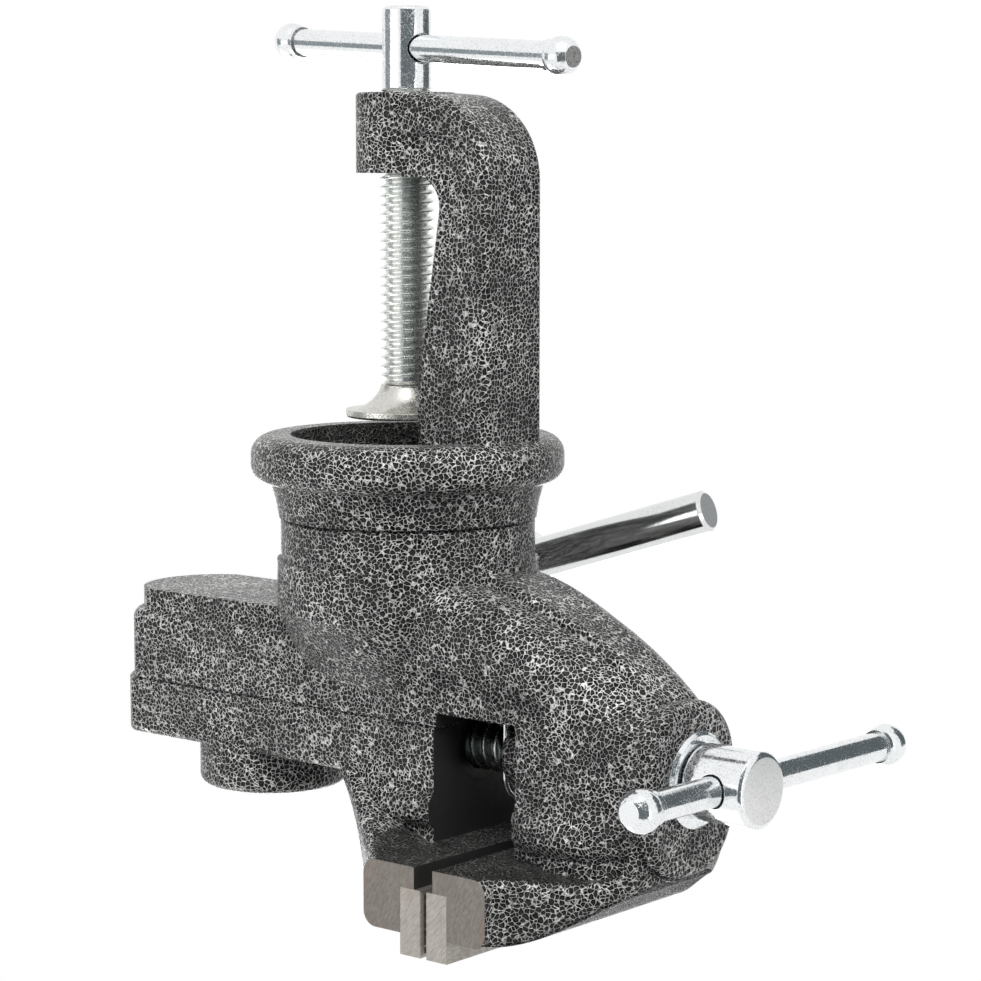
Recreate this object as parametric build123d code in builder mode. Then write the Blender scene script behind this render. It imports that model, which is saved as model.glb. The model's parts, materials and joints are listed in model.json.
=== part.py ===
from build123d import *
import math
import os

# A clamp-on swivel bench vise with 76 mm jaws, all sizes in millimetres.
# Z points up, X runs along the jaws and -Y towards the operator. The origin lies on the
# swivel axis, in the plane of the face that rests on the bench.

# General fits
running = 0.05          # radial play of a shaft in its bore
play = 0.3              # gap between two castings that turn or slide on each other
slide_play = 0.1        # gap under the sliding jaw and at its keel
overrun = 2.0           # how far a cutting shape passes the face that it cuts

# Swivel base: flange, neck and spigot
flange_radius = 37.5
flange_height = 11.2
flange_edge = 4.8
flange_top_edge = 4.2
hollow_radius = 28.0
hollow_depth = 13.0
hollow_corner = 5.0
neck_foot_radius = 33.0
neck_radius = 31.0
neck_waist = 0.3        # how deep the neck's outline is hollowed
base_height = 19.6
spigot_radius = 21.0
spigot_height = 22.0

# C-arm of the clamp
arm_width = 21.0
web_width = 19.6
arm_reach = 33.2        # swivel axis to the arm's outer face
strap_top_depth = 12.5
strap_foot_depth = 7.0
web_top_reach = 11.9    # swivel axis to the web's inner edge, at the bench face
web_foot_reach = 19.9
scoop_depth = 36.0      # how far below the bench face the web is hollowed for the pad
arm_bend = 20.0
arm_bend_inside = 7.0
arm_edge = 2.2
clamp_boss_radius = 12.0
clamp_boss_edge = 1.0
clamp_boss_low = 80.7   # below the bench face
clamp_boss_high = 61.9
foot_depth = 9.0        # height of the lower strap
foot_rise = 1.8         # how far its outer end rises
boss_edge = 0.8

# Clamp screw, pad and bar
clamp_screw_radius = 6.35
clamp_head_radius = 5.75
clamp_head_length = 19.1
clamp_head_gap = 0.9    # boss to screw head, at rest
pad_gap = 4.1           # bench face to pad, at rest
pad_radius = 14.7
pad_rim = 1.8
pad_waist_radius = 8.9
pad_waist_depth = 3.6
pad_height = 7.6
pad_neck_radius = 6.3
pad_floor = 1.8
swivel_neck_radius = 3.7
swivel_neck_length = 3.4
swivel_button_radius = 4.8
swivel_button_height = 2.2
socket_gap = 0.3
clamp_bar_radius = 3.2
clamp_bar_angle = 8.0   # degrees, about the screw, from -Y towards +X
clamp_bar_slope = 3.4   # degrees, the front end higher
clamp_bar_shift = 5.0

# Handle bars, shared
bar_span = 96.5         # between the centres of the two knobs
knob_share = 1.4        # knob radius over bar radius
knob_flat_share = 0.84  # flat end's distance over knob radius
knob_neck_share = 0.82  # neck's radius over knob radius
knob_neck_length = 1.3

# Body: collar, shoulder and beam
collar_radius = 30.5
collar_height = 9.9
shoulder_radius = 31.4
shoulder_height = 11.7
shoulder_rise = 18.5
beam_half = 17.5
beam_low = 48.3
slide_plane = 65.9
beam_rear = 86.9
beam_rear_bow = 10.0    # how far the rear end bows out
keel_plate_half = 16.0
keel_plate_low = 43.0
keel_plate_inset = 2.8
throat_front = -47.7
throat_rear = -24.0
throat_floor = 62.4
channel_front = -46.0
channel_half = 9.0
channel_floor = 50.4
undercut_half = 12.4
undercut_top = 56.5
beam_edge = 2.6
parting_edge = 0.4
collar_edge = 0.5

# Jaws
jaw_half = 38.0
jaw_place = -37.9       # Y of the line where the jaws meet
jaw_opening = 1.1
plate_thickness = 6.4
plate_height = 15.6
plate_proud = 5.0
plate_edge = 0.4
jaw_rise = 29.2         # the slide's top to the top of both jaw castings
jaw_height = 15.8
jaw_back = 11.2         # casting behind each plate
jaw_ledge = 4.2         # casting under each plate
jaw_corner = 3.5
plate_screw_half_pitch = 24.0
plate_screw_radius = 2.5
plate_screw_head_radius = 4.7
plate_screw_length = 14.0
plate_screw_rise = 5.8  # screw's axis above the plate's lower edge
plate_screw_sink = 0.3

# Front boss, swell, bow with its rib, and hoods
boss_half = 17.0
boss_low = 55.0
boss_high = 95.4
boss_face = -85.0
boss_edge_radius = 2.8
boss_corner_share = 0.86
boss_depth = 12.0
screw_height = 72.3     # height of the lead screw's axis
inner_boss_radius = 9.5
inner_boss_face = -37.2
neck_corner_share = 0.1
swell_rear = -57.4
swell_front_high = 81.0
bow_rear = -22.0
bow_rear_half = 23.5
bow_ledge = 51.0        # top of the bow beside the beam
bow_ledge_rise = 5.0    # how much higher its front end is
bow_inset = 5.0         # boss face to the first station of the swell
rib_half = 7.3
rib_height = 2.2
rib_root = 6.0
rib_corner_share = 0.45
hood_inset = 0.2
hood_overlap = 3.0
nose_start = -78.0      # where the hood's slab turns into the boss's nose
rear_hood_end = 6.0
bead_step = 1.4
bead_low = 79.9
bead_high = 91.5
bead_front_half = 14.8
bead_front_high = 89.0
bead_corner_share = 0.8
rear_bead_half = 19.3
rear_bead_height = 6.5

# Sliding jaw and anvil
slide_top = 79.7
slide_crown = 2.7
slide_front = -23.2
slide_overhang = 1.7
slide_edge = 1.8
anvil_place = 45.3
anvil_radius = 18.7
anvil_height = 11.0
anvil_edge = 2.4
keel_length = 46.0

# Lead screw and its nut
lead_radius = 6.0
lead_end = 42.0
lead_end_edge = 1.5
lead_head_radius = 8.7
lead_head_length = 16.4
lead_head_edge = 1.2
lead_washer_radius = 11.0
lead_washer_thickness = 2.2
lead_washer_edge = 0.7
thrust_washer_radius = 8.2
thrust_washer_thickness = 1.2
nut_radius = 8.5
nut_length = 18.0
passage_radius = 7.0
passage_spare = 4.0
clip_wire = 1.2
clip_seat_radius = 5.2
clip_bite = 0.15        # how deep the clip's legs press into their groove
clip_leg_low = 7.2
clip_leg_high = 5.6
lead_bar_radius = 3.5
lead_bar_slope = 0.6    # degrees, the far end higher
lead_bar_shift = -14.4

# Swivel bolt and lock lever
bolt_radius = 5.0
bolt_length = 38.6
bolt_head_flats = 17.0
bolt_head_sides = 6
bolt_head_height = 6.4
bolt_washer_radius = 10.5
bolt_washer_thickness = 1.6
lock_height = 36.5
lock_pad_radius = 10.5
lock_pad_reach = 33.2
lock_hub_radius = 8.4
lock_hub_length = 13.6
lock_tip_gap = 0.4
lock_rod_root = 39.9    # swivel axis to the rod's inner end
lock_hub_edge = 1.0
lock_rod_radius = 5.1
lock_rod_length = 55.7
lock_rod_edge = 0.8
lock_rod_lean = 12.5    # degrees away from the body
lock_rod_droop = 17.9   # degrees below the horizontal

# Stations of the lofts, all as shares from the first size to the last:
# along Y, in half width, in the lower edge, in the upper edge and in the corner's radius
hood_stations = [
    (0, 0, 0, 0, 0.25), (0.33, 0.31, -0.013, 0.07, 0.5), (0.66, 0.63, -0.024, 0.4, 0.7),
    (1, 0.916, 0.034, 0.79, 0.8),
]
nose_stations = [(0, 0.916, 0.034, 0.79, 0.8), (0.5, 0.96, 0.24, 0.9, 0.8), (1, 1, 0.98, 1, 0.86)]
rear_stations = [
    (0, 0, 0, 0, 0.2), (0.25, 0.27, 0.16, 0.07, 0.5), (0.5, 0.56, 0.42, 0.32, 0.7),
    (0.75, 0.81, 0.74, 0.68, 0.7), (1, 1, 1, 1, 0.6),
]

# Stations of the swell and the bow: along Y, in half width, in the lower edge, and the bilge's radius
swell_stations = [(0, 0, 0.012, 0.72), (0.5, 0.25, 0.36, 0.68), (1, 0.47, 0.605, 0.62)]
bow_stations = [
    (0, 0.47, 0.605, 0.62), (0.33, 0.67, 0.79, 0.52), (0.66, 0.88, 0.935, 0.44), (1, 1, 1, 0.38),
]
swell_top_shares = [0, 0.75, 1]
ledge_shares = [1, 0.25, 0, 0]

# Places worked out from the sizes above
collar_low = base_height + play
step_height = collar_low + collar_height
shoulder_top = step_height + shoulder_height
spigot_top = base_height + spigot_height
jaw_top = slide_top + jaw_rise
plate_low = jaw_top + plate_proud - plate_height
jaw_low = jaw_top - jaw_height
front_plate_face = jaw_place - jaw_opening / 2
rear_plate_face = jaw_place + jaw_opening / 2
slide_low = slide_plane + slide_play
slide_rear = beam_rear + slide_overhang
bolt_head_top = hollow_depth - bolt_washer_thickness - play
cavity_top = spigot_top + play
lead_head_face = boss_face - play - lead_washer_thickness
lead_bar_place = lead_head_face - lead_head_length / 2
clip_place = inner_boss_face + thrust_washer_thickness + play + clip_wire / 2
pad_face = -pad_gap
pad_end = pad_face - pad_height
button_top = pad_face - pad_floor - socket_gap
button_low = button_top - swivel_button_height
thread_start = button_low - swivel_neck_length
clamp_head_top = -clamp_boss_low - clamp_head_gap
clamp_bar_height = clamp_head_top - clamp_head_length / 2


def blend(first, last, share):
    """The value at a share of the way from first to last."""
    return first + (last - first) * share


def section(place, half, low, high, corner_share):
    """A rounded rectangle across the vise at the place along Y."""
    with BuildSketch(Plane.XZ.offset(-place)) as outline:
        with Locations((0, (low + high) / 2)):
            RectangleRounded(2 * half, high - low, corner_share * min(half, (high - low) / 2))
    return outline.sketch.face()


def hull(place, half, low, high, bilge):
    """Section across the bow at the place along Y, its lower edges rounded by the bilge radius."""
    turn_in = bilge * (1 - math.sqrt(0.5))
    with BuildSketch(Plane.XZ.offset(-place)) as outline:
        with BuildLine():
            Line((half - bilge, low), (bilge - half, low))
            ThreePointArc((bilge - half, low), (turn_in - half, low + turn_in), (-half, low + bilge))
            Polyline((-half, low + bilge), (-half, high), (half, high), (half, low + bilge))
            ThreePointArc((half, low + bilge), (half - turn_in, low + turn_in), (half - bilge, low))
        make_face()
    return outline.sketch.face()


def jaw_outline(face, back):
    """Outline of a jaw casting's -X end: face and back are Y places of its plate's two sides."""
    away = math.copysign(1, back - face)
    ledge = back - away * jaw_ledge
    rear = back + away * jaw_back
    with BuildSketch(Plane.YZ.offset(-jaw_half)) as outline:
        with BuildLine():
            Polyline(
                (ledge, jaw_low), (rear, jaw_low), (rear, jaw_top), (back, jaw_top),
                (back, plate_low), (ledge, plate_low), close=True,
            )
        make_face()
        corners = outline.vertices().sort_by(Axis.X)
        fillet(corners[:2] if away < 0 else corners[-2:], jaw_corner)
    return outline.sketch.face()


def tail_outline(height, half, front, rear):
    """Plan outline with straight sides and a rear end that bows out."""
    straight = rear - beam_rear_bow
    with BuildSketch(Plane.XY.offset(height)) as outline:
        with BuildLine():
            Polyline((half, straight), (half, front), (-half, front), (-half, straight))
            ThreePointArc((-half, straight), (0, rear), (half, straight))
        make_face()
    return outline.sketch.face()


def knob(radius):
    """A ball end with a flat face, a short neck and a socket, its bar coming along -Z."""
    ball = radius * knob_share
    flat = ball * knob_flat_share
    with BuildPart() as end:
        with BuildSketch(Plane.XZ):
            with BuildLine():
                flat_radius = math.sqrt(ball**2 - flat**2)
                neck = ball * knob_neck_share
                neck_top = -math.sqrt(ball**2 - neck**2)
                neck_low = neck_top - knob_neck_length
                Polyline((0, 0), (0, flat), (flat_radius, flat))
                ThreePointArc((flat_radius, flat), (ball, 0), (neck, neck_top))
                Polyline((neck, neck_top), (neck, neck_low), (radius, neck_low), (radius, 0), (0, 0))
            make_face()
        revolve(axis=Axis.Z)
    return end.part


def plate_screw_places():
    """Where the two screws of a jaw plate lie across X and in height."""
    height = plate_low + plate_screw_rise
    return [(-plate_screw_half_pitch, height), (plate_screw_half_pitch, height)]


def facing_rear(place, height=screw_height):
    """A plane across the vise, its normal towards +Y, centred at the given height."""
    return Plane((0, place, height), x_dir=(1, 0, 0), z_dir=(0, 1, 0))


def rod(plane, radius, depth):
    """A round bar that stands on the plane: a shaft, or a bore to be cut."""
    with BuildPart() as bar:
        with BuildSketch(plane):
            Circle(radius)
        extrude(amount=depth)
    return bar.part


def washer(plane, radius, bore, thickness, edge):
    """A flat washer that stands on the plane, its outer edges broken."""
    with BuildPart() as ring:
        with BuildSketch(plane):
            Circle(radius)
        extrude(amount=thickness)
        chamfer(ring.edges(), edge)
        with BuildSketch(plane):
            Circle(bore)
        extrude(amount=thickness, mode=Mode.SUBTRACT)
    return ring.part


def write(piece, name):
    piece.label = name
    export_step(piece, f"parts/{name}.step")


os.makedirs("parts", exist_ok=True)

# The arm's outer strap, down the back and under to the clamp boss
with BuildPart() as arm_strap:
    with BuildSketch(Plane.YZ) as strap_outline:
        with BuildLine():
            Polyline(
                (-arm_reach, flange_edge), (-arm_reach, foot_rise - clamp_boss_low),
                (-clamp_boss_radius / 2, -clamp_boss_low),
                (-clamp_boss_radius / 2, foot_depth - clamp_boss_low),
                (strap_foot_depth - arm_reach, foot_rise + foot_depth - clamp_boss_low),
                (strap_top_depth - arm_reach, flange_edge), close=True,
            )
        make_face()
        outer_bend = strap_outline.vertices().group_by(Axis.X)[0].sort_by(Axis.Y)[0]
        fillet(outer_bend, arm_bend)
    extrude(amount=arm_width / 2, both=True)
    sides = arm_strap.faces().group_by(Axis.X)
    back_limit = strap_foot_depth / 2 - arm_reach
    foot_limit = foot_depth / 2 - clamp_boss_low
    outer_edges = [
        edge for edge in sides[0].edges() + sides[-1].edges()
        if edge.center().Y < back_limit or edge.center().Z < foot_limit
    ]
    fillet(outer_edges, arm_edge)

# The web inside the strap, narrowing downwards and turning into the lower arm
with BuildPart() as arm_web:
    with BuildSketch(Plane.YZ) as web_outline:
        with BuildLine():
            Polyline(
                (strap_foot_depth / 2 - arm_reach, hollow_depth), (-web_top_reach, hollow_depth),
                (-web_top_reach, -flange_height), (-web_foot_reach, boss_edge - clamp_boss_high),
                (-clamp_boss_radius / 2, boss_edge - clamp_boss_high),
                (-clamp_boss_radius / 2, foot_depth / 2 - clamp_boss_low),
                (strap_foot_depth / 2 - arm_reach, foot_rise + foot_depth / 2 - clamp_boss_low), close=True,
            )
        make_face()
        bends = web_outline.vertices()
        inner_bend = bends.filter_by_position(Axis.X, -web_foot_reach - running, running - web_foot_reach)
        fillet(inner_bend, arm_bend_inside)
        web_bend = web_outline.vertices().group_by(Axis.X)[0].sort_by(Axis.Y)[0]
        fillet(web_bend, arm_bend - strap_foot_depth / 2)
    extrude(amount=web_width / 2, both=True)

# The boss of the clamp screw on its own, with a rounded lower edge
with BuildPart() as clamp_boss:
    add(rod(Plane.XY.offset(-clamp_boss_low), clamp_boss_radius, clamp_boss_low - clamp_boss_high))
    fillet(clamp_boss.edges().group_by(Axis.Z)[0], clamp_boss_edge)

# Swivel base: a hollow flange with its neck and spigot, the C-arm and the clamp boss
with BuildPart() as swivel_base:
    with BuildSketch(Plane.XZ) as base_outline:
        with BuildLine():
            waist = (neck_foot_radius + neck_radius) / 2 - neck_waist
            Polyline(
                (neck_radius, base_height), (spigot_radius, base_height), (spigot_radius, spigot_top),
                (bolt_radius + running, spigot_top), (bolt_radius + running, hollow_depth),
                (hollow_radius - hollow_corner / 2, hollow_depth), (hollow_radius, 0),
                (flange_radius, 0), (flange_radius, flange_height), (neck_foot_radius, flange_height),
            )
            ThreePointArc(
                (neck_foot_radius, flange_height), (waist, (flange_height + base_height) / 2),
                (neck_radius, base_height),
            )
        make_face()
        fillet(base_outline.vertices().group_by(Axis.X)[-1].sort_by(Axis.Y)[0], flange_edge)
        fillet(base_outline.vertices().group_by(Axis.X)[-1].sort_by(Axis.Y)[-1], flange_top_edge)
    revolve(axis=Axis.Z)
    add(arm_strap.part)
    add(arm_web.part)
    add(clamp_boss.part)

    # Bore of the clamp screw, and room for the pad in the web's inner edge
    bore_plane = Plane.XY.offset(-clamp_boss_low - overrun)
    bore_depth = clamp_boss_low - clamp_boss_high + 2 * overrun
    add(rod(bore_plane, clamp_screw_radius + running, bore_depth), mode=Mode.SUBTRACT)
    scoop = rod(Plane.XY.offset(-scoop_depth), pad_radius + play, hollow_depth + scoop_depth)
    add(scoop, mode=Mode.SUBTRACT)
write(swivel_base.part, "swivel_base")

# Clamp screw with its drilled head, and the swivelling pad
turn = math.radians(clamp_bar_angle)
slope = math.radians(clamp_bar_slope)
clamp_bar_plane = Plane(
    (0, 0, clamp_bar_height),
    z_dir=(math.sin(turn) * math.cos(slope), -math.cos(turn) * math.cos(slope), math.sin(slope)),
)
with BuildPart() as clamp_screw:
    with BuildSketch(Plane.XZ) as screw_outline:
        with BuildLine():
            Polyline(
                (0, button_top), (swivel_button_radius, button_top), (swivel_button_radius, button_low),
                (swivel_neck_radius, button_low), (swivel_neck_radius, thread_start),
                (clamp_screw_radius, thread_start), (clamp_screw_radius, clamp_head_top + boss_edge),
                (clamp_head_radius, clamp_head_top),
                (clamp_head_radius, clamp_head_top - clamp_head_length),
                (0, clamp_head_top - clamp_head_length), close=True,
            )
        make_face()
        corners = screw_outline.vertices()
        chamfer(corners.group_by(Axis.Y)[0].sort_by(Axis.X)[-1], boss_edge)
        chamfer(corners.group_by(Axis.X)[-1].sort_by(Axis.Y)[-1], boss_edge)
    revolve(axis=Axis.Z)
    with BuildSketch(clamp_bar_plane.offset(-clamp_head_length)):
        Circle(clamp_bar_radius + running)
    extrude(amount=2 * clamp_head_length, mode=Mode.SUBTRACT)
write(clamp_screw.part, "clamp_screw")

with BuildPart() as clamp_pad:
    with BuildSketch(Plane.XZ):
        with BuildLine():
            Polyline((0, pad_face), (pad_radius, pad_face), (pad_radius, pad_face - pad_rim))
            ThreePointArc(
                (pad_radius, pad_face - pad_rim), (pad_waist_radius, pad_face - pad_waist_depth),
                (pad_neck_radius, pad_end + socket_gap),
            )
            Polyline(
                (pad_neck_radius, pad_end + socket_gap), (pad_neck_radius, pad_end),
                (swivel_neck_radius + socket_gap, pad_end),
                (swivel_neck_radius + socket_gap, button_low - socket_gap),
                (swivel_button_radius + socket_gap, button_low - socket_gap),
                (swivel_button_radius + socket_gap, button_top + socket_gap),
                (0, button_top + socket_gap), (0, pad_face),
            )
        make_face()
    revolve(axis=Axis.Z)
    fillet(clamp_pad.edges().group_by(Axis.Z)[-1], pad_rim / 3)
write(clamp_pad.part, "clamp_pad")

# Sliding bars of both screws, each with two knobs pressed on
tilt = math.radians(lead_bar_slope)
lead_bar_plane = Plane((0, lead_bar_place, screw_height), z_dir=(math.cos(tilt), 0, -math.sin(tilt)))
with BuildPart() as clamp_bar:
    with BuildSketch(clamp_bar_plane.offset(clamp_bar_shift - bar_span / 2)):
        Circle(clamp_bar_radius)
    extrude(amount=bar_span)
write(clamp_bar.part, "clamp_bar")

with BuildPart() as lead_bar:
    with BuildSketch(lead_bar_plane.offset(lead_bar_shift - bar_span / 2)):
        Circle(lead_bar_radius)
    extrude(amount=bar_span)
write(lead_bar.part, "lead_bar")

for name, plane, radius, shift in [
    ("clamp_bar_knobs", clamp_bar_plane, clamp_bar_radius, clamp_bar_shift),
    ("lead_bar_knobs", lead_bar_plane, lead_bar_radius, lead_bar_shift),
]:
    back = Plane(plane.origin, z_dir=-plane.z_dir)
    with BuildPart() as knobs:
        add(plane.offset(bar_span / 2 + shift).location * knob(radius))
        add(back.offset(bar_span / 2 - shift).location * knob(radius))
    write(knobs.part, name)

# The body's beam on its own, with rounded lower edges
with BuildPart() as beam:
    extrude(tail_outline(beam_low, beam_half, throat_front, beam_rear), amount=slide_plane - beam_low)
    fillet(beam.edges().group_by(Axis.Z)[0], beam_edge)
    chamfer(beam.edges().group_by(Axis.Z)[-1], parting_edge)

# The boss of the lead screw on its own, an upright oval with a rounded front edge
with BuildPart() as front_boss:
    oval = section(boss_face, boss_half, boss_low, boss_high, boss_corner_share)
    extrude(oval, amount=boss_depth, dir=(0, 1, 0))
    fillet(front_boss.edges().group_by(Axis.Y)[0], boss_edge_radius)

# Vise body: collar, shoulder, beam with its channel, bow, neck, boss and the fixed jaw
with BuildPart() as vise_body:
    with BuildSketch(Plane.XZ) as collar_outline:
        with BuildLine():
            Polyline(
                (0, collar_low), (collar_radius, collar_low), (collar_radius, step_height),
                (shoulder_radius, step_height), (shoulder_radius, shoulder_top), (0, shoulder_top),
                close=True,
            )
        make_face()
        rim = collar_outline.vertices().group_by(Axis.Y)[0].sort_by(Axis.X)[-1]
        chamfer(rim, collar_edge)
    revolve(axis=Axis.Z)

    # Shoulder that narrows from the round collar to the flat sides of the beam
    with BuildSketch(Plane.XY.offset(shoulder_top)):
        Circle(shoulder_radius)
    with BuildSketch(Plane.XY.offset(shoulder_top + shoulder_rise)):
        Ellipse(beam_half - hood_inset, shoulder_radius)
    loft()

    # Beam with a narrower plate under it, and the throat cut into its top
    add(beam.part)
    under_plate = tail_outline(keel_plate_low, keel_plate_half, throat_front, beam_rear - keel_plate_inset)
    extrude(under_plate, amount=beam_low + overrun - keel_plate_low)
    with BuildSketch(Plane.XZ.offset(-throat_rear)):
        with Locations((0, (throat_floor + jaw_low) / 2)):
            Rectangle(2 * (beam_half + overrun), jaw_low - throat_floor)
    extrude(amount=throat_rear - throat_front, mode=Mode.SUBTRACT)

    # Flat neck in front of the throat
    neck_top = jaw_low + hood_overlap
    neck = section(swell_rear, beam_half, channel_floor, neck_top, neck_corner_share)
    extrude(neck, amount=throat_front - swell_rear, dir=(0, 1, 0))

    # Swell from the boss back to the neck, the bow that runs on below it to the collar, and their rib
    swell_front = boss_face + bow_inset
    swell_tops = [blend(swell_front_high, neck_top, share) for share in swell_top_shares]
    bow_tops = [bow_ledge + bow_ledge_rise * share for share in ledge_shares]
    rib = []
    for start, end, stations, tops in [
        (swell_front, swell_rear, swell_stations, swell_tops),
        (swell_rear, bow_rear, bow_stations, bow_tops),
    ]:
        sections = []
        for (share, out, low, bilge), top in zip(stations, tops):
            place = blend(start, end, share)
            half = blend(boss_half - hood_inset, bow_rear_half, out)
            bottom = blend(boss_low, step_height, low)
            sections.append(hull(place, half, bottom + rib_height, top, bilge * half))
            rib.append(section(place, rib_half, bottom, bottom + rib_height + rib_root, rib_corner_share))
        loft(sections=sections)
    rib.pop(len(swell_stations))
    loft(sections=rib)

    # Fixed jaw: the block behind the plate and the hood that runs down to the boss
    front_plate_back = front_plate_face - plate_thickness
    extrude(jaw_outline(front_plate_face, front_plate_back), amount=2 * jaw_half, dir=(1, 0, 0))
    hood_start = front_plate_back - jaw_back + hood_overlap
    nose_end = boss_face + boss_edge_radius + hood_inset
    for start, end, stations in [
        (hood_start, nose_start, hood_stations), (nose_start, nose_end, nose_stations),
    ]:
        loft(sections=[
            section(
                blend(start, end, along),
                blend(jaw_half - hood_inset, boss_half - hood_inset, inward),
                blend(jaw_low + hood_inset, boss_low + hood_inset, low),
                blend(jaw_top - hood_inset, boss_high - hood_inset, high),
                corner,
            )
            for along, inward, low, high, corner in stations
        ])

    # Web that joins the swell to the hood's underside
    web = [
        (blend(swell_rear, swell_front, 1 - share), blend(boss_half, bow_rear_half, out))
        for share, out, low, bilge in swell_stations[:0:-1]
    ] + [(nose_start - bead_step, bead_front_half)]
    loft(sections=[section(place, half, bead_low, neck_top, neck_corner_share) for place, half in web])

    # Bead along the foot of the hood, a step wider than the neck and the swell
    bead = [(throat_front, beam_half, bead_high)] + [
        (blend(swell_rear, swell_front, 1 - share), blend(boss_half, bow_rear_half, out), bead_high)
        for share, out, low, bilge in swell_stations[:0:-1]
    ] + [(swell_front, bead_front_half, bead_front_high)]
    loft(sections=[
        section(place, half + bead_step, bead_low, high, bead_corner_share) for place, half, high in bead
    ])

    # Boss of the lead screw, outside the neck and inside the throat
    add(front_boss.part)
    inner_depth = inner_boss_face - throat_front + overrun
    add(rod(facing_rear(throat_front - overrun), inner_boss_radius, inner_depth))

    # Pad of the lock bolt on the far side of the shoulder
    lock_plane = Plane((-lock_pad_reach, 0, lock_height), z_dir=(1, 0, 0))
    lock_depth = lock_pad_reach - spigot_radius
    add(rod(lock_plane, lock_pad_radius, lock_depth - overrun))

    # T-shaped channel of the slide's keel, open at the rear
    with BuildSketch(Plane.XZ.offset(-channel_front)):
        with Locations((0, (channel_floor + slide_plane + overrun) / 2)):
            Rectangle(2 * channel_half, slide_plane + overrun - channel_floor)
        with Locations((0, (channel_floor + undercut_top) / 2)):
            Rectangle(2 * undercut_half, undercut_top - channel_floor)
    extrude(amount=channel_front - beam_rear - overrun, mode=Mode.SUBTRACT)

    # Bores of the lead screw, the spigot, the swivel bolt, the lock bolt and the plate's screws
    screw_depth = inner_boss_face - boss_face + 2 * overrun
    spigot_plane = Plane.XY.offset(collar_low - overrun)
    add(rod(facing_rear(boss_face - overrun), lead_radius + running, screw_depth), mode=Mode.SUBTRACT)
    add(rod(spigot_plane, spigot_radius + running, cavity_top - collar_low + overrun), mode=Mode.SUBTRACT)
    bolt_bore = rod(Plane.XY.offset(spigot_height), bolt_radius, channel_floor - spigot_height + overrun)
    add(bolt_bore, mode=Mode.SUBTRACT)
    lock_bore = rod(lock_plane.offset(-overrun), bolt_radius + running, lock_depth + 2 * overrun)
    add(lock_bore, mode=Mode.SUBTRACT)
    with BuildSketch(Plane.XZ.offset(-front_plate_face)):
        with Locations(*plate_screw_places()):
            Circle(plate_screw_radius)
    extrude(amount=plate_screw_sink + plate_screw_length + overrun / 2, mode=Mode.SUBTRACT)
write(vise_body.part, "vise_body")

# Jaw plates with countersunk holes, and their screws, on both jaws
for jaw, face, away in [("front", front_plate_face, -1), ("rear", rear_plate_face, 1)]:
    face_plane = Plane((0, face, 0), x_dir=(1, 0, 0), z_dir=(0, away, 0))
    places = [(across, height * -away) for across, height in plate_screw_places()]
    countersink = plate_screw_head_radius - plate_screw_radius
    with BuildPart() as plate:
        with BuildSketch(face_plane):
            with Locations((0, -away * (plate_low + plate_height / 2))):
                Rectangle(2 * jaw_half, plate_height)
        extrude(amount=plate_thickness)
        front_edges = plate.edges().filter_by_position(Axis.Y, face, face)
        chamfer(front_edges, plate_edge)
        with Locations(*[face_plane.location * Location((*place, 0)) for place in places]):
            Cylinder(
                plate_screw_head_radius, plate_screw_sink, mode=Mode.SUBTRACT,
                align=(Align.CENTER, Align.CENTER, Align.MIN),
            )
            Cylinder(
                plate_screw_radius, plate_thickness, mode=Mode.SUBTRACT,
                align=(Align.CENTER, Align.CENTER, Align.MIN),
            )
        with Locations(*[face_plane.location * Location((*place, plate_screw_sink)) for place in places]):
            Cone(
                plate_screw_head_radius, plate_screw_radius, countersink, mode=Mode.SUBTRACT,
                align=(Align.CENTER, Align.CENTER, Align.MIN),
            )
    write(plate.part, f"{jaw}_jaw_plate")
    with BuildPart() as plate_screws:
        with Locations(*[face_plane.location * Location((*place, plate_screw_sink)) for place in places]):
            Cone(
                plate_screw_head_radius, plate_screw_radius, countersink,
                align=(Align.CENTER, Align.CENTER, Align.MIN),
            )
            Cylinder(plate_screw_radius, plate_screw_length, align=(Align.CENTER, Align.CENTER, Align.MIN))
    write(plate_screws.part, f"{jaw}_plate_screws")

# The slide's crowned block on its own, trimmed to the bowed outline of the beam
with BuildPart() as slide_block:
    with BuildSketch(Plane.XZ.offset(-slide_front)):
        with BuildLine():
            Polyline(
                (-beam_half, slide_top), (-beam_half, slide_low), (beam_half, slide_low),
                (beam_half, slide_top),
            )
            ThreePointArc((beam_half, slide_top), (0, slide_top + slide_crown), (-beam_half, slide_top))
        make_face()
    extrude(amount=slide_front - slide_rear)
    outline = tail_outline(slide_low, beam_half, slide_front, slide_rear)
    extrude(outline, amount=slide_top, mode=Mode.INTERSECT)
    crown_edges = [
        edge for edge in slide_block.edges()
        if edge.center().Z > slide_top - running and edge.center().Y > 0
    ]
    fillet(crown_edges, slide_edge)
    chamfer(slide_block.edges().group_by(Axis.Z)[0], parting_edge)

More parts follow.
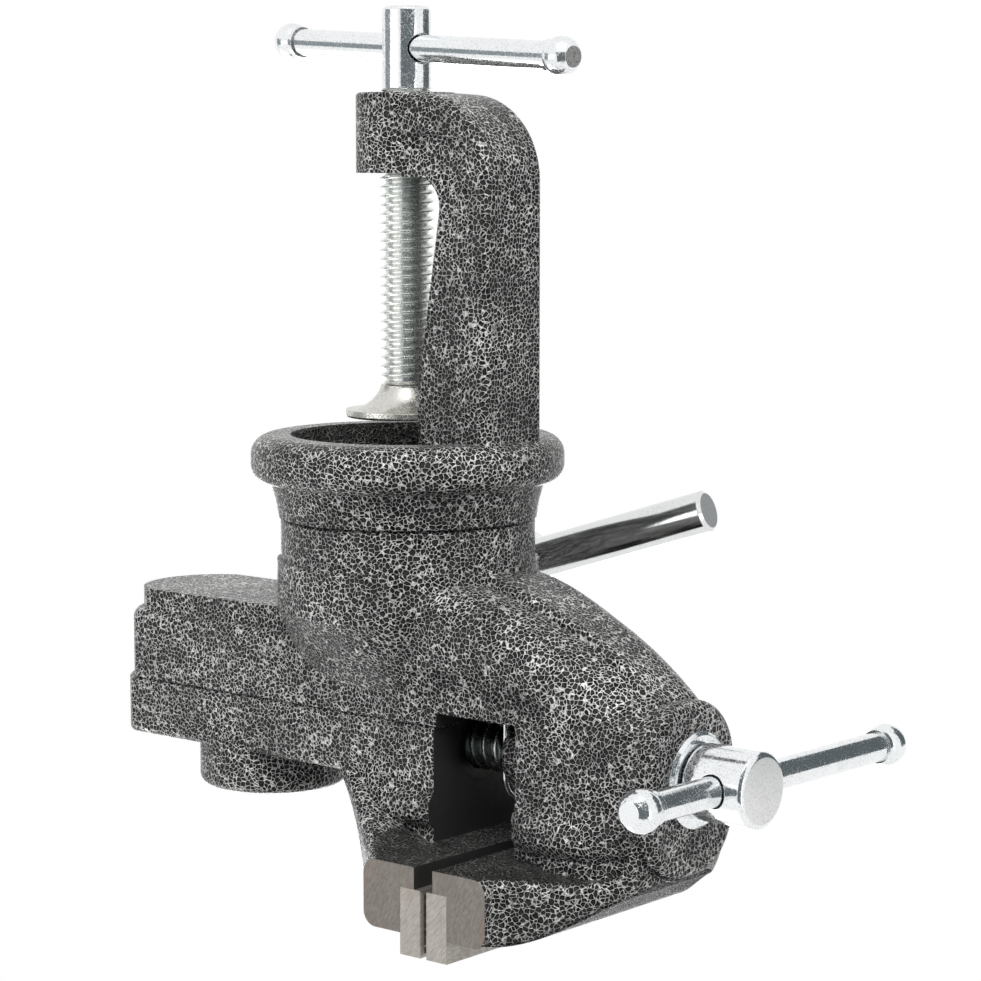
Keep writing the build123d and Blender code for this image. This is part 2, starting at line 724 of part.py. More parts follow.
# Sliding jaw: the block with its T-shaped keel, the jaw, its hood and the anvil
with BuildPart() as sliding_jaw:
    add(slide_block.part)

    # Keel in the body's channel
    with BuildSketch(Plane.XZ.offset(-slide_front)):
        stem = slide_low + overrun - channel_floor - slide_play
        foot = undercut_top - channel_floor - 2 * slide_play
        with Locations((0, channel_floor + slide_play + stem / 2)):
            Rectangle(2 * (channel_half - play), stem)
        with Locations((0, channel_floor + slide_play + foot / 2)):
            Rectangle(2 * (undercut_half - play), foot)
    extrude(amount=-keel_length)

    # Jaw, the neck under it and the hood that runs down to the slide
    rear_plate_back = rear_plate_face + plate_thickness
    extrude(jaw_outline(rear_plate_face, rear_plate_back), amount=2 * jaw_half, dir=(1, 0, 0))
    with BuildSketch(Plane.YZ.offset(-beam_half)):
        with BuildLine():
            Polyline(
                (slide_front, slide_top - overrun), (slide_front, jaw_low + overrun),
                (rear_plate_back + jaw_back - overrun, jaw_low + overrun),
                (rear_hood_end, slide_top), (rear_hood_end, slide_top - overrun), close=True,
            )
        make_face()
    extrude(amount=2 * beam_half)
    loft(sections=[
        section(
            blend(rear_plate_back + jaw_back - hood_overlap, rear_hood_end, along),
            blend(jaw_half - hood_inset, beam_half - hood_inset, inward),
            blend(jaw_low + hood_inset, slide_top - overrun, low),
            blend(jaw_top - hood_inset, slide_top + slide_crown, high),
            corner,
        )
        for along, inward, low, high, corner in rear_stations
    ])
    rear_bead_low = slide_top + rear_bead_height / 4
    rear_bead_high = jaw_low - rear_bead_height / 2
    rear_bead_middle = (slide_front + rear_hood_end) / 2
    loft(sections=[
        section(place, half, rear_bead_low, rear_bead_high, bead_corner_share)
        for place, half in [
            (slide_front, rear_bead_half), (rear_bead_middle, rear_bead_half), (0, beam_half),
        ]
    ])

    # Anvil
    with BuildSketch(Plane.XZ.offset(-anvil_place)) as anvil_outline:
        with BuildLine():
            Polyline(
                (0, slide_top - slide_edge), (anvil_radius, slide_top - slide_edge),
                (anvil_radius, slide_top + anvil_height), (0, slide_top + anvil_height), close=True,
            )
        make_face()
        anvil_rim = anvil_outline.vertices().group_by(Axis.X)[-1].sort_by(Axis.Y)
        fillet(anvil_rim[-1], anvil_edge)
    revolve(axis=Axis((0, anvil_place, 0), (0, 0, 1)))

    # Bore of the nut, passage of the lead screw and the plate's tapped holes
    nut_depth = nut_length + overrun
    passage_depth = lead_end + passage_spare - slide_front
    add(rod(facing_rear(slide_front - overrun), nut_radius, nut_depth), mode=Mode.SUBTRACT)
    add(rod(facing_rear(slide_front), passage_radius, passage_depth), mode=Mode.SUBTRACT)
    with BuildSketch(Plane.XZ.offset(-rear_plate_face)):
        with Locations(*plate_screw_places()):
            Circle(plate_screw_radius)
    extrude(amount=-(plate_screw_sink + plate_screw_length + overrun / 2), mode=Mode.SUBTRACT)
write(sliding_jaw.part, "sliding_jaw")

with BuildPart() as lead_nut:
    add(rod(facing_rear(slide_front), nut_radius, nut_length))
    add(rod(facing_rear(slide_front), lead_radius + running, nut_length), mode=Mode.SUBTRACT)
write(lead_nut.part, "lead_nut")

# Lead screw with its drilled head and the groove of the retaining clip
with BuildPart() as lead_screw:
    with BuildSketch(Plane.XY.offset(screw_height)) as screw_outline:
        with BuildLine():
            groove = clip_wire / 2 + slide_play
            Polyline(
                (0, lead_head_face - lead_head_length),
                (lead_head_radius, lead_head_face - lead_head_length),
                (lead_head_radius, lead_head_face), (lead_radius, lead_head_face),
                (lead_radius, clip_place - groove), (clip_seat_radius, clip_place - groove),
                (clip_seat_radius, clip_place + groove), (lead_radius, clip_place + groove),
                (lead_radius, lead_end), (0, lead_end), close=True,
            )
        make_face()
        corners = screw_outline.vertices()
        chamfer(corners.group_by(Axis.Y)[-1].sort_by(Axis.X)[-1], lead_end_edge)
        chamfer(corners.group_by(Axis.X)[-1], lead_head_edge)
    revolve(axis=Axis((0, 0, screw_height), (0, 1, 0)))
    cross_plane = lead_bar_plane.offset(-lead_head_length)
    add(rod(cross_plane, lead_bar_radius + running, 2 * lead_head_length), mode=Mode.SUBTRACT)
write(lead_screw.part, "lead_screw")

# Hairpin clip astride the lead screw, pressed into the groove
clip_reach = clip_seat_radius + clip_wire / 2 - clip_bite
clip_plane = facing_rear(clip_place)
with BuildPart() as screw_clip:
    with BuildLine(clip_plane) as hairpin:
        Line((-clip_reach, clip_leg_low), (-clip_reach, -clip_leg_high))
        bend = -clip_leg_high - clip_reach
        ThreePointArc((-clip_reach, -clip_leg_high), (0, bend), (clip_reach, -clip_leg_high))
        Line((clip_reach, -clip_leg_high), (clip_reach, clip_leg_low))
    leg_end = Plane((-clip_reach, clip_place, screw_height - clip_leg_low), z_dir=(0, 0, 1))
    with BuildSketch(leg_end):
        Circle(clip_wire / 2)
    sweep(path=hairpin.wire())
write(screw_clip.part, "screw_clip")

# Washers: under the lead screw's head, behind its inner boss, and over the swivel bolt's head
lead_washer = washer(
    facing_rear(boss_face - lead_washer_thickness),
    lead_washer_radius, lead_radius + running, lead_washer_thickness, lead_washer_edge,
)
thrust_washer = washer(
    facing_rear(inner_boss_face),
    thrust_washer_radius, lead_radius + running, thrust_washer_thickness, lead_washer_edge / 2,
)
swivel_washer = washer(
    Plane.XY.offset(hollow_depth - bolt_washer_thickness),
    bolt_washer_radius, bolt_radius + running, bolt_washer_thickness, lead_washer_edge / 2,
)
write(lead_washer, "lead_washer")
write(thrust_washer, "thrust_washer")
write(swivel_washer, "swivel_washer")

with BuildPart() as swivel_bolt:
    with BuildSketch(Plane.XY.offset(bolt_head_top)):
        RegularPolygon(bolt_head_flats / 2, side_count=bolt_head_sides, major_radius=False)
    extrude(amount=-bolt_head_height)
    add(rod(Plane.XY.offset(bolt_head_top - slide_edge), bolt_radius, bolt_length + slide_edge))
    chamfer(swivel_bolt.edges().group_by(Axis.Z)[-1], boss_edge)
write(swivel_bolt.part, "swivel_bolt")

# Lock bolt with its cross-drilled hub, and the rod pressed into it
lock_lean = math.radians(lock_rod_lean)
lock_droop = math.radians(lock_rod_droop)
rod_plane = Plane(
    (-lock_rod_root, 0, lock_height),
    z_dir=(
        -math.sin(lock_lean) * math.cos(lock_droop),
        -math.cos(lock_lean) * math.cos(lock_droop),
        -math.sin(lock_droop),
    ),
)
with BuildPart() as lock_bolt:
    with BuildSketch(Plane.XZ) as lock_outline:
        with BuildLine():
            hub_face = -lock_pad_reach - lock_tip_gap
            tip = -spigot_radius - lock_tip_gap
            Polyline(
                (tip, lock_height), (tip, lock_height + bolt_radius), (hub_face, lock_height + bolt_radius),
                (hub_face, lock_height + lock_hub_radius),
                (hub_face - lock_hub_length, lock_height + lock_hub_radius),
                (hub_face - lock_hub_length, lock_height), close=True,
            )
        make_face()
        chamfer(lock_outline.vertices().group_by(Axis.Y)[-1], lock_hub_edge)
    revolve(axis=Axis((0, 0, lock_height), (1, 0, 0)))
    add(rod(rod_plane, lock_rod_radius, 2 * lock_hub_radius), mode=Mode.SUBTRACT)
write(lock_bolt.part, "lock_bolt")

with BuildPart() as lock_rod:
    add(rod(rod_plane, lock_rod_radius, lock_rod_length))
    chamfer(lock_rod.edges().sort_by(Axis.Y)[0], lock_rod_edge)
write(lock_rod.part, "lock_rod")
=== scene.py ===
import json
import math

import bmesh
import bpy
from mathutils import Matrix, Vector

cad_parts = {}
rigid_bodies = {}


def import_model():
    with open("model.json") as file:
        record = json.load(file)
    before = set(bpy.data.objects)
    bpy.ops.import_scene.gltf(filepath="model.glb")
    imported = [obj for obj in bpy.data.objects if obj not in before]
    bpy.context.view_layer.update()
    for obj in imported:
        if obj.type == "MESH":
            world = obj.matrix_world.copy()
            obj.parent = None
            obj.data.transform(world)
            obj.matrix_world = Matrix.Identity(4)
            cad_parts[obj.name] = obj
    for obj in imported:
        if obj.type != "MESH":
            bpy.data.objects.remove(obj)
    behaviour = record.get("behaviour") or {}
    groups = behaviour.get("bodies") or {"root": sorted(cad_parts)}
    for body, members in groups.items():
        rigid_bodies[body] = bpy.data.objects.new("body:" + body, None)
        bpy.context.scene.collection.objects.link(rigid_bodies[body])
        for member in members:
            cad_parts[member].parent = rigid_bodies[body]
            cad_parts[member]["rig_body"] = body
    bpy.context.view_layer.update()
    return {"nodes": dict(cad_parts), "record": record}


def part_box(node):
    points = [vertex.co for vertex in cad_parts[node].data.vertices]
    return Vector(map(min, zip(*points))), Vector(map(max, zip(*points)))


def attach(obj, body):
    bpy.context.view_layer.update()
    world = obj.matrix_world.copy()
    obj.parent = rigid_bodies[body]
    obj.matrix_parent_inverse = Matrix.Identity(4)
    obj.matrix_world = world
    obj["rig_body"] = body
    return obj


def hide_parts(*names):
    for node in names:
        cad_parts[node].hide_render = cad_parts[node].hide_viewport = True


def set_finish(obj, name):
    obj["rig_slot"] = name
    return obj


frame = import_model()
nodes = frame["nodes"]
MM = 0.001
SHARP = math.radians(32)    # a steeper edge is drawn sharp
FLAT = 0.99                 # least cosine between a flat face's normal and an axis
NEAR = 0.1                  # millimetres that a face may miss its place by


def linear(red, green, blue):
    """A colour written as 0-255 screen values, as the shader wants it."""
    shares = (v / 255 for v in (red, green, blue))
    return tuple(v / 12.92 if v <= 0.04045 else ((v + 0.055) / 1.055) ** 2.4 for v in shares) + (1,)


# Materials: scales are in waves or cells to the metre, values of mixes are shares

class Tree:
    """Builds one material's nodes with few words."""

    def __init__(self, name):
        self.material = bpy.data.materials.new(name)
        self.material.use_nodes = True
        self.nodes = self.material.node_tree.nodes
        self.links = self.material.node_tree.links
        self.shader = self.nodes["Principled BSDF"]
        self.coords = self.add("ShaderNodeTexCoord").outputs["Object"]

    def add(self, kind, sources=(), **settings):
        """A node with its settings, fed by sources: socket name or number to value or socket."""
        node = self.nodes.new(kind)
        for key, value in settings.items():
            setattr(node, key, value)
        for socket, source in dict(sources).items():
            self.feed(node.inputs[socket], source)
        return node

    def feed(self, socket, source):
        if isinstance(source, bpy.types.NodeSocket):
            self.links.new(source, socket)
        else:
            socket.default_value = source

    def math(self, operation, first, second):
        return self.add("ShaderNodeMath", {0: first, 1: second}, operation=operation).outputs[0]

    def noise(self, scale, detail=3.0, roughness=0.5, vector=None):
        return self.add("ShaderNodeTexNoise", {
            "Vector": vector or self.coords, "Scale": scale, "Detail": detail,
            "Roughness": roughness,
        }).outputs["Fac"]

    def stretch(self, scale, rotation):
        """The object's coordinates, turned and then scaled."""
        return self.add("ShaderNodeMapping", {
            "Vector": self.coords, "Scale": tuple(1 / v for v in scale), "Rotation": rotation,
        }, vector_type="TEXTURE").outputs[0]

    def ramp(self, value, low, high, to_low=0.0, to_high=1.0):
        """The value, taken smoothly from low and high to another pair."""
        return self.add("ShaderNodeMapRange", {
            "Value": value, "From Min": low, "From Max": high, "To Min": to_low, "To Max": to_high,
        }, interpolation_type="SMOOTHSTEP").outputs[0]

    def mix(self, share, first, second):
        sources = {0: share, 6: first, 7: second}
        return self.add("ShaderNodeMix", sources, data_type="RGBA").outputs[2]

    def bent(self, scale, amount):
        """The object's coordinates, shifted by a noise."""
        sources = {"Vector": self.coords, "Scale": scale, "Detail": 1.0}
        shift = self.add("ShaderNodeTexNoise", sources).outputs["Color"]
        sources = {0: shift, "Scale": amount}
        small = self.add("ShaderNodeVectorMath", sources, operation="SCALE").outputs[0]
        sources = {0: self.coords, 1: small}
        return self.add("ShaderNodeVectorMath", sources, operation="ADD").outputs[0]

    def cells(self, scale, vector):
        """How far a point is from the border between two rounded cells."""
        sources = {"Vector": vector, "Scale": scale, "Randomness": 0.95}
        first, second = (
            self.add("ShaderNodeTexVoronoi", sources, feature=feature).outputs["Distance"]
            for feature in ("F1", "F2")
        )
        return self.math("SUBTRACT", second, first)

    def finish(self, color, roughness, metallic, height=None, depth=0.0, edge=0.0, specular=0.5):
        """The material, its height as a bump of the given depth on edges of the given radius."""
        inputs = self.shader.inputs
        self.feed(inputs["Base Color"], color)
        self.feed(inputs["Roughness"], roughness)
        self.feed(inputs["Metallic"], metallic)
        inputs["Specular IOR Level"].default_value = specular
        if edge:
            round_edge = self.add("ShaderNodeBevel", {"Radius": edge}, samples=6).outputs[0]
            sources = {"Height": height, "Distance": depth, "Normal": round_edge}
            self.feed(inputs["Normal"], self.add("ShaderNodeBump", sources).outputs[0])
        return self.material


def hammertone(name, faint, full, gloss=1.0):
    """Charcoal enamel drawn back into dark dished cells inside a raised silver network, with a
    black rim in each cell that is partly dark pigment and partly painted shade under the network.

    faint and full are the network's darkest and lightest colours.
    """
    coarse_cells, fine_cells = 900, 1550
    thin_vein, thick_vein = 0.13, 0.21
    t = Tree(name)
    place = t.bent(640, 0.8 * MM)
    coarse = t.cells(coarse_cells, place)
    fine = t.cells(fine_cells, place)
    crowd = t.ramp(t.noise(300, 1.0), 0.5, 0.66, 0.7, 0.12)     # least where fine cells show
    grain = t.noise(3400, 2.0)
    patches = t.noise(330, 2.0)
    gap = t.math("MINIMUM", coarse, t.math("ADD", fine, crowd))
    gap = t.math("ADD", gap, t.math("MULTIPLY", t.math("SUBTRACT", grain, 0.5), 0.16))
    wide = t.ramp(patches, 0.3, 0.7, thin_vein, thick_vein)
    vein = t.ramp(t.math("DIVIDE", gap, wide), 0.2, 1.0, 1.0, 0.0)
    # a black rim inside each cell: partly dark pigment, partly painted shade under the raised
    # network
    past_rim_shade = t.ramp(gap, 0.24, 0.38)
    cloud = t.math("MULTIPLY", t.noise(70, 1.0), 0.3)
    bloom = t.math("ADD", cloud, t.math("MULTIPLY", grain, 0.7))
    silver = t.mix(t.ramp(bloom, 0.35, 0.65), faint, full)
    pool = t.mix(patches, linear(26, 26, 25), linear(66, 65, 64))
    color = t.mix(vein, t.mix(past_rim_shade, linear(1, 1, 1), pool), silver)
    metallic = t.math("MULTIPLY", vein, 0.5 * gloss)
    roughness = t.ramp(vein, 0.0, 1.0, 0.2, 0.38)
    ridge = t.ramp(gap, 0.0, 0.42, 1.0, 0.0)
    height = t.math("ADD", ridge, t.math("MULTIPLY", grain, 0.15))
    height = t.math("ADD", height, t.math("MULTIPLY", t.noise(150, 2.0), 1.6))
    t.shader.inputs["Coat Weight"].default_value = 0.08 * gloss
    t.shader.inputs["Coat Roughness"].default_value = 0.15
    return t.finish(
        color, roughness, metallic, height, depth=0.5 * MM, edge=1.2 * MM, specular=0.08 * gloss)


def zinc(name, rough, bright, dim, spots=0.34):
    """Bright zinc plate, faintly clouded, with a fine grain and dull specks."""
    t = Tree(name)
    cloud = t.noise(160, 4.0)
    specks = t.noise(2400, 2.0, 0.6)
    dots = t.ramp(t.math("ADD", specks, t.math("MULTIPLY", cloud, 0.25)), 0.6, 0.78)
    color = t.mix(dots, bright, dim)
    roughness = t.ramp(dots, 0.0, 1.0, rough, rough + spots)
    return t.finish(color, roughness, 1.0, specks, depth=0.012 * MM, edge=0.25 * MM)


def ground(name, light, dark, across, turn):
    """Ground steel with grinding marks in one direction and a hint of rust in patches."""
    t = Tree(name)
    marks = t.noise(1.0, 5.0, 0.6, t.stretch(across, (turn, 0, 0)))
    tarnish = t.noise(130, 5.0, 0.6)
    share = t.math("MULTIPLY", t.ramp(marks, 0.25, 0.75), t.ramp(tarnish, 0.2, 0.8, 0.5, 1.0))
    rust = t.mix(0.5, dark, linear(150, 108, 78))
    rusty = t.ramp(t.noise(95, 3.0), 0.55, 0.8, 0.0, 0.55)
    color = t.mix(rusty, t.mix(share, dark, light), rust)
    roughness = t.ramp(marks, 0.3, 0.7, 0.5, 0.36)
    return t.finish(color, roughness, 0.85, marks, depth=0.012 * MM, edge=0.25 * MM)


def plain(name, color, roughness, metallic, scale, depth):
    """A quieter finish with a little cloud and grain."""
    t = Tree(name)
    cloud = t.noise(scale, 4.0)
    darker = tuple(0.7 * v for v in color[:3]) + (1,)
    rough = t.ramp(cloud, 0.3, 0.7, roughness, roughness + 0.12)
    return t.finish(t.mix(cloud, darker, color), rough, metallic, cloud, depth, edge=0.2 * MM)


PAINT = hammertone("hammertone", linear(140, 139, 138), linear(246, 245, 243))
# A darker copy of the paint: painted shade under the jaws and inside the flange's hollow
PAINT_SHADE = hammertone("hammertone_painted_shade", linear(62, 62, 61), linear(136, 135, 133))
PAINT_MATT = hammertone("hammertone_matt", linear(150, 149, 148), linear(246, 245, 243), 0.008)
ZINC = zinc("zinc", 0.07, linear(242, 244, 245), linear(218, 221, 223), 0.26)
DULL = zinc("zinc_dull", 0.24, linear(212, 211, 206), linear(176, 173, 166))
ROD = zinc("zinc_rod", 0.12, linear(226, 228, 228), linear(214, 216, 216), 0.06)
SAWN = zinc("zinc_sawn", 0.42, linear(232, 233, 232), linear(214, 215, 214), 0.08)
THREAD = zinc("zinc_thread", 0.24, linear(236, 238, 235), linear(208, 210, 207), 0.1)
CUT = zinc("cut_steel", 0.38, linear(158, 158, 156), linear(112, 112, 111))
GROUND = ground("ground_iron", linear(142, 137, 132), linear(113, 106, 99), (700, 2400, 700), -0.5)
PLATE = ground("plate_steel", linear(187, 183, 178), linear(152, 146, 139), (700, 2400, 500), -0.75)
OILED = plain("oiled_thread", linear(128, 133, 130), 0.16, 1.0, 900, 0.004 * MM)
BLACK = plain("blackened_steel", linear(64, 64, 64), 0.32, 0.9, 400, 0.01 * MM)
# Black casting skin, partly bare iron and partly painted shade in the throat and the jaws' slot
SKIN_AND_SHADE = plain("casting_skin_and_shade", linear(34, 34, 33), 0.6, 0.0, 700, 0.05 * MM)
IRON = plain("nut_iron", linear(58, 56, 54), 0.45, 0.9, 500, 0.02 * MM)
FINISHES = {
    "hammertone": PAINT, "zinc": ZINC, "ground_steel": PLATE, "dark_steel": BLACK, "nut_iron": IRON,
}


def smooth(mesh, angle=SHARP):
    """Smooth shading with sharp edges where the faces meet at more than the angle."""
    mesh.polygons.foreach_set("use_smooth", [True] * len(mesh.polygons))
    mesh.set_sharp_from_angle(angle=angle)


def weigh_normals(made):
    """Lets large faces keep their own normals, so that a flat stays true up to its round edge."""
    even = made.modifiers.new("even_shading", "WEIGHTED_NORMAL")
    even.keep_sharp = True


def face_with(made, material, test):
    """Another material for the faces whose centre, normal and lowest height pass the test."""
    mesh = made.data
    mesh.materials.append(material)
    for face in mesh.polygons:
        lowest = min(mesh.vertices[i].co.z for i in face.vertices) / MM
        if test(face.center / MM, face.normal, lowest):
            face.material_index = len(mesh.materials) - 1


slots = {entry["node"]: entry["material_slot"] for entry in frame["record"]["subparts"]}
for name, node in nodes.items():
    node.data.materials.clear()
    node.data.materials.append(FINISHES[slots[name]])
    smooth(node.data)
    weigh_normals(node)
nodes["clamp_pad"].data.materials[0] = DULL
nodes["lock_rod"].data.materials[0] = ROD

# Faces of the castings that differ from their paint, in millimetres
JAW_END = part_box("front_jaw_plate")[1].x / MM
JAW_UNDERSIDE = 90
ANVIL_TOP = 90.7
THROAT_LOW = 50
HOLLOW_RADIUS, HOLLOW_DEPTH = 28.3, 13.5


def is_ground(centre, normal, lowest):
    """The bare ends of the jaw castings, and the anvil's face."""
    end = abs(normal.x) > FLAT and abs(centre.x) > JAW_END - NEAR
    return end or (normal.z > FLAT and abs(centre.z - ANVIL_TOP) < NEAR)


def is_bare_and_shaded(places):
    """The throat's end walls and the slot's walls at these places along Y: black casting skin,
    which is also painted shade deep in the throat and in the narrow slot.
    """
    def test(centre, normal, lowest):
        across = abs(normal.y) > FLAT and abs(centre.x) < JAW_END and centre.z > THROAT_LOW
        return across and any(abs(centre.y - place) < 0.3 for place in places)
    return test


def is_under_jaw(centre, normal, lowest):
    """The undersides of both jaws, in the darker paint that is painted shade under the jaws."""
    return centre.z > JAW_UNDERSIDE and normal.z < -0.9


def is_slope(centre, normal, lowest):
    """The slope from the jaw down to the boss, where the paint dried matt."""
    return centre.z > JAW_UNDERSIDE and normal.z > 0.6 and normal.y < -0.3


def is_hollow(centre, normal, lowest):
    """The inside of the flange, in the darker paint that is painted shade in the hollow."""
    return -NEAR < lowest < HOLLOW_DEPTH and math.hypot(centre.x, centre.y) < HOLLOW_RADIUS


# Per casting: bare ground ends, then black skin and the darker paint as painted shade in the
# throat, the slot and under the jaws
for name, places in (("vise_body", (-24.0, -40.6)), ("sliding_jaw", (-23.2, -35.1))):
    face_with(nodes[name], GROUND, is_ground)
    face_with(nodes[name], SKIN_AND_SHADE, is_bare_and_shaded(places))
    face_with(nodes[name], PAINT_SHADE, is_under_jaw)
face_with(nodes["vise_body"], PAINT_MATT, is_slope)
# Painted shade inside the flange's hollow
face_with(nodes["swivel_base"], PAINT_SHADE, is_hollow)


# Pieces in mesh code, in millimetres until they are placed

WELD = 1e-4     # points this near are one
HUB = 0.01      # radius at which a turned solid's ends close
HEAD_STEPS, SINK_STEPS = 96, 48


def closed(bm):
    """Welds a mesh and closes its open ends."""
    bmesh.ops.remove_doubles(bm, verts=bm.verts, dist=WELD)
    bmesh.ops.dissolve_degenerate(bm, edges=bm.edges, dist=WELD)
    bmesh.ops.holes_fill(bm, edges=[e for e in bm.edges if e.is_boundary])
    bmesh.ops.recalc_face_normals(bm, faces=bm.faces)
    return bm


def circle(bm, radius, height, steps):
    """A ring of points about Z; radius is a number or a function of the angle."""
    points = []
    for i in range(steps):
        angle = 2 * math.pi * i / steps
        reach = radius(angle) if callable(radius) else radius
        points.append(bm.verts.new((reach * math.cos(angle), reach * math.sin(angle), height)))
    return points


def skin_rings(bm, rings):
    """Faces between each ring of points and the next."""
    for low, high in zip(rings, rings[1:]):
        for i in range(len(low)):
            j = (i + 1) % len(low)
            bm.faces.new((low[i], low[j], high[j], high[i]))


def lathe(profile, steps=64):
    """A closed solid turned about Z from (radius, height) pairs."""
    bm = bmesh.new()
    skin_rings(bm, [circle(bm, radius, height, steps) for radius, height in profile])
    return closed(bm)


def thread(start, end, pitch, crest, root, limit, steps=48, rows=10):
    """A right-hand screw along +Z, whose radius is at most limit(place along the axis)."""
    root_share, flank_share = 0.18, 0.62
    bm = bmesh.new()
    count = int(rows * ((end - start) / pitch + 2)) + 1
    grid = []
    for i in range(steps):
        angle = 2 * math.pi * i / steps
        column = []
        for j in range(count + 1):
            along = min(max(start + (j / rows + i / steps - 1) * pitch, start), end)
            share = abs((j % rows) / rows - 0.5) * 2
            rise = min(max((share - root_share) / flank_share, 0), 1)
            radius = limit(along)
            if start < along < end:
                radius = min(root + (crest - root) * rise, radius)
            point = (radius * math.cos(angle), radius * math.sin(angle), along)
            column.append(bm.verts.new(point))
        grid.append(column)
    for i in range(steps):
        shift = 0 if i + 1 < steps else rows
        near, far = grid[i], grid[(i + 1) % steps]
        for j in range(count - shift):
            bm.faces.new((near[j], far[j + shift], far[j + shift + 1], near[j + 1]))
    return closed(bm)


def add_shells(made, shells):
    """Puts (mesh, matrix) shells in millimetres into a piece."""
    whole = bmesh.new()
    whole.from_mesh(made.data)
    for bm, matrix in shells:
        bm.transform(Matrix.Scale(MM, 4) @ matrix)
        part = bpy.data.meshes.new("part")
        bm.to_mesh(part)
        bm.free()
        whole.from_mesh(part)
        bpy.data.meshes.remove(part)
    whole.to_mesh(made.data)
    whole.free()
    smooth(made.data)


def placed(name, mesh):
    """A new object in the scene."""
    made = bpy.data.objects.new(name, mesh)
    bpy.context.scene.collection.objects.link(made)
    return made


def piece(name, shells, body, slot, material, replaces=None):
    """One object from (mesh, matrix) shells in millimetres, riding on its body."""
    made = placed(name, bpy.data.meshes.new(name))
    made.data.materials.append(material)
    add_shells(made, shells)
    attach(made, body)
    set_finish(made, slot)
    if replaces:
        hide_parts(replaces)
    return made


def carve(made, shells, angle=SHARP):
    """Cuts closed shells out of a piece."""
    cutter = piece("cutter", shells, made["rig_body"], made["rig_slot"], made.data.materials[0])
    cut = made.modifiers.new("cut", "BOOLEAN")
    cut.object = cutter
    cut.operation = "DIFFERENCE"
    cut.solver = "EXACT"
    bpy.context.view_layer.update()
    graph = bpy.context.evaluated_depsgraph_get()
    carved = bpy.data.meshes.new_from_object(made.evaluated_get(graph))
    made.modifiers.clear()
    made.data = carved
    bpy.data.objects.remove(cutter)
    carved.set_sharp_from_angle(angle=angle)


def cross_hole(place, direction, radius, reach=30):
    """The cylinder that drills a hole through a screw's head."""
    turned = Vector((0, 0, 1)).rotation_difference(Vector(direction)).to_matrix().to_4x4()
    drill = lathe([(HUB, -reach), (radius, -reach), (radius, reach), (HUB, reach)])
    return drill, Matrix.Translation(place) @ turned


STILL = Matrix.Identity(4)
BAR_PLAY = 0.35     # the cross holes are this much wider than their bars

# Clamp screw: drilled head, 12-to-the-inch thread, neck and button
SHANK_LOW, SHANK_HIGH, SHANK_RADIUS, SHANK_ROOT = -81.6, -11.8, 6.35, 5.1
CLAMP_PITCH = 25.4 / 12
HEAD_RADIUS, HEAD_LOW, HEAD_EDGE = 5.75, -100.7, 0.8
CLAMP_BAR_HEIGHT, CLAMP_BAR_RADIUS = -91.15, 3.2
CLAMP_BAR_TURN, CLAMP_BAR_SLOPE = math.radians(8.0), math.radians(3.4)
CLAMP_BAR_WAY = (
    math.sin(CLAMP_BAR_TURN) * math.cos(CLAMP_BAR_SLOPE),
    -math.cos(CLAMP_BAR_TURN) * math.cos(CLAMP_BAR_SLOPE),
    math.sin(CLAMP_BAR_SLOPE),
)


def clamp_limit(z):
    """The thread's largest radius: it runs out at the head and is pointed at the pad."""
    head_side = HEAD_RADIUS - 0.1 + max(z - SHANK_LOW, 0) * 0.8
    pad_side = 5.2 + (SHANK_HIGH - z) * 0.9
    return min(SHANK_RADIUS, head_side, pad_side)


clamp_head = [
    (HUB, HEAD_LOW), (HEAD_RADIUS - HEAD_EDGE, HEAD_LOW), (HEAD_RADIUS - 0.3, HEAD_LOW + 0.3),
    (HEAD_RADIUS, HEAD_LOW + HEAD_EDGE), (HEAD_RADIUS, SHANK_LOW), (HUB, SHANK_LOW),
]
button = [
    (HUB, -15), (3.7, -15), (3.7, -8.4), (4.5, -8.4), (4.8, -8.1), (4.8, -6.5), (4.5, -6.2),
    (HUB, -6.2),
]
clamp_screw = piece(
    "clamp_screw_thread", [(lathe(clamp_head, HEAD_STEPS), STILL)],
    "clamp_screw", slots["clamp_screw"], ZINC, "clamp_screw",
)
carve(clamp_screw, [
    cross_hole((0, 0, CLAMP_BAR_HEIGHT), CLAMP_BAR_WAY, CLAMP_BAR_RADIUS + BAR_PLAY),
])
clamp_turns = thread(
    SHANK_LOW - 0.3, SHANK_HIGH, CLAMP_PITCH, SHANK_RADIUS, SHANK_ROOT, clamp_limit,
)
add_shells(clamp_screw, [(clamp_turns, STILL), (lathe(button), STILL)])
face_with(clamp_screw, THREAD, lambda centre, *_: SHANK_LOW < centre.z < SHANK_HIGH)

# Lead screw: drilled head, plain journal through the boss, coarse thread with the clip's groove
AXIS_HEIGHT = 72.3
HEAD_FACE, THREAD_START, LEAD_END = -87.5, -45.0, 42.0
LEAD_HEAD_RADIUS, LEAD_HEAD_LENGTH, LEAD_HEAD_EDGE = 8.7, 16.4, 1.2
LEAD_RADIUS, LEAD_ROOT, LEAD_PITCH, JOURNAL_RADIUS = 6.0, 4.5, 3.5, 5.99
LEAD_BAR_RADIUS, LEAD_BAR_SLOPE = 3.5, math.radians(0.6)
CLIP_PLACE, CLIP_GROOVE, CLIP_ROOT = -35.1, 0.7, 5.2


def lead_limit(y):
    """The thread's largest radius: less in the clip's groove and at the pointed end."""
    groove = CLIP_ROOT + max(abs(y - CLIP_PLACE) - CLIP_GROOVE, 0) * 4
    return min(LEAD_RADIUS, groove, LEAD_ROOT + (LEAD_END - y))


